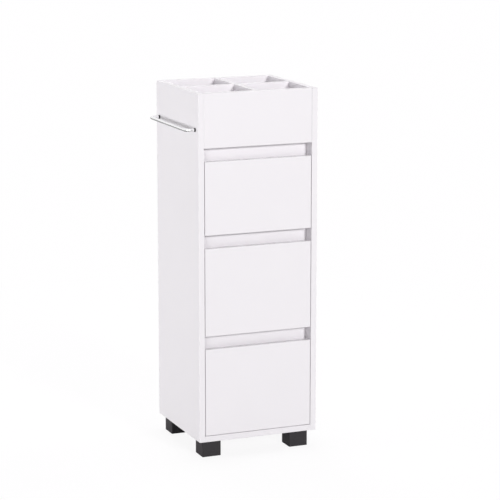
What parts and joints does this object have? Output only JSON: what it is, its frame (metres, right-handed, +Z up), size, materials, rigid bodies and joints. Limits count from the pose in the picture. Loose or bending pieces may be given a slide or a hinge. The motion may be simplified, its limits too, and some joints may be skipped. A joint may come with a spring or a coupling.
{
  "type": "bathroom storage tower",
  "caption": "Narrow white bathroom cabinet on square black feet, with drawers on roller runners under finger recesses, an open divided tray on top and a side towel rail.",
  "frame": {"origin": "under the middle of the whole outline, towel rail included, on the plane that the feet stand on", "axes": "+Z up; the drawer fronts face -Y; +X to the right of someone facing the drawers"},
  "size_m": [0.349, 0.3, 0.932],
  "materials": {
    "white_board": "satin white melamine on chipboard",
    "hardboard": "white lacquered hardboard",
    "black_plastic": "fine grained moulding",
    "grey_rubber": "matte moulding",
    "chrome_bar": "polished",
    "white_steel": "white powder coat",
    "roller_plastic": "smooth moulding",
    "zinc_fittings": "zinc plated",
    "beech_dowels": "plain beech"
  },
  "bodies": {
    "carcass": {"side_panel_left": "white_board", "side_panel_right": "white_board", "bottom_panel": "white_board", "back_panel": "hardboard", "tray_floor": "white_board", "tray_front_panel": "white_board", "tray_back_panel": "white_board", "tray_divider_long": "white_board", "tray_divider_cross": "white_board", "towel_rail": "chrome_bar", "rail_collars": "grey_rubber", "rail_screws": "zinc_fittings", "foot_front_left": "black_plastic", "foot_front_right": "black_plastic", "foot_back_left": "black_plastic", "foot_back_right": "black_plastic", "foot_screws": "zinc_fittings", "carcass_cams": "zinc_fittings", "carcass_cam_bolts": "zinc_fittings", "carcass_dowels": "beech_dowels", "cabinet_runner_screws": "zinc_fittings", "cross_rail_lower": "white_board", "cross_rail_middle": "white_board", "cross_rail_upper": "white_board", "cabinet_runners_lower": "white_steel", "cabinet_runners_middle": "white_steel", "cabinet_runners_upper": "white_steel"},
    "drawer_lower": {"drawer_front_lower": "white_board", "drawer_side_left_lower": "white_board", "drawer_side_right_lower": "white_board", "drawer_back_lower": "white_board", "drawer_bottom_lower": "hardboard", "drawer_runners_lower": "white_steel", "drawer_cams_lower": "zinc_fittings", "drawer_cam_bolts_lower": "zinc_fittings", "drawer_screws_lower": "zinc_fittings"},
    "drawer_middle": {"drawer_front_middle": "white_board", "drawer_side_left_middle": "white_board", "drawer_side_right_middle": "white_board", "drawer_back_middle": "white_board", "drawer_bottom_middle": "hardboard", "drawer_runners_middle": "white_steel", "drawer_cams_middle": "zinc_fittings", "drawer_cam_bolts_middle": "zinc_fittings", "drawer_screws_middle": "zinc_fittings"},
    "drawer_upper": {"drawer_front_upper": "white_board", "drawer_side_left_upper": "white_board", "drawer_side_right_upper": "white_board", "drawer_back_upper": "white_board", "drawer_bottom_upper": "hardboard", "drawer_runners_upper": "white_steel", "drawer_cams_upper": "zinc_fittings", "drawer_cam_bolts_upper": "zinc_fittings", "drawer_screws_upper": "zinc_fittings"},
    "front_rollers_lower": {"front_rollers_lower": "roller_plastic"},
    "rear_rollers_lower": {"rear_rollers_lower": "roller_plastic"},
    "front_rollers_middle": {"front_rollers_middle": "roller_plastic"},
    "rear_rollers_middle": {"rear_rollers_middle": "roller_plastic"},
    "front_rollers_upper": {"front_rollers_upper": "roller_plastic"},
    "rear_rollers_upper": {"rear_rollers_upper": "roller_plastic"}
  },
  "joints": [
    {"name": "drawer_lower_slide", "type": "slide", "parent": "carcass", "child": "drawer_lower", "axis": [0, -1, 0], "range_m": [0, 0.19]},
    {"name": "drawer_middle_slide", "type": "slide", "parent": "carcass", "child": "drawer_middle", "axis": [0, -1, 0], "range_m": [0, 0.19]},
    {"name": "drawer_upper_slide", "type": "slide", "parent": "carcass", "child": "drawer_upper", "axis": [0, -1, 0], "range_m": [0, 0.19]},
    {"name": "front_rollers_lower_turn", "type": "hinge", "parent": "carcass", "child": "front_rollers_lower", "pos_m": [0.0145, -0.105, 0.0825], "axis": [1, 0, 0], "continuous": true},
    {"name": "rear_rollers_lower_turn", "type": "hinge", "parent": "drawer_lower", "child": "rear_rollers_lower", "pos_m": [0.0145, 0.106, 0.0825], "axis": [1, 0, 0], "continuous": true},
    {"name": "front_rollers_middle_turn", "type": "hinge", "parent": "carcass", "child": "front_rollers_middle", "pos_m": [0.0145, -0.105, 0.34], "axis": [1, 0, 0], "continuous": true},
    {"name": "rear_rollers_middle_turn", "type": "hinge", "parent": "drawer_middle", "child": "rear_rollers_middle", "pos_m": [0.0145, 0.106, 0.34], "axis": [1, 0, 0], "continuous": true},
    {"name": "front_rollers_upper_turn", "type": "hinge", "parent": "carcass", "child": "front_rollers_upper", "pos_m": [0.0145, -0.105, 0.5975], "axis": [1, 0, 0], "continuous": true},
    {"name": "rear_rollers_upper_turn", "type": "hinge", "parent": "drawer_upper", "child": "rear_rollers_upper", "pos_m": [0.0145, 0.106, 0.5975], "axis": [1, 0, 0], "continuous": true}
  ],
  "couplings": [
    {"joint": "front_rollers_lower_turn", "follows": "drawer_lower_slide", "rad_per_m": 117.65},
    {"joint": "rear_rollers_lower_turn", "follows": "drawer_lower_slide", "rad_per_m": 117.65},
    {"joint": "front_rollers_middle_turn", "follows": "drawer_middle_slide", "rad_per_m": 117.65},
    {"joint": "rear_rollers_middle_turn", "follows": "drawer_middle_slide", "rad_per_m": 117.65},
    {"joint": "front_rollers_upper_turn", "follows": "drawer_upper_slide", "rad_per_m": 117.65},
    {"joint": "rear_rollers_upper_turn", "follows": "drawer_upper_slide", "rad_per_m": 117.65}
  ]
}
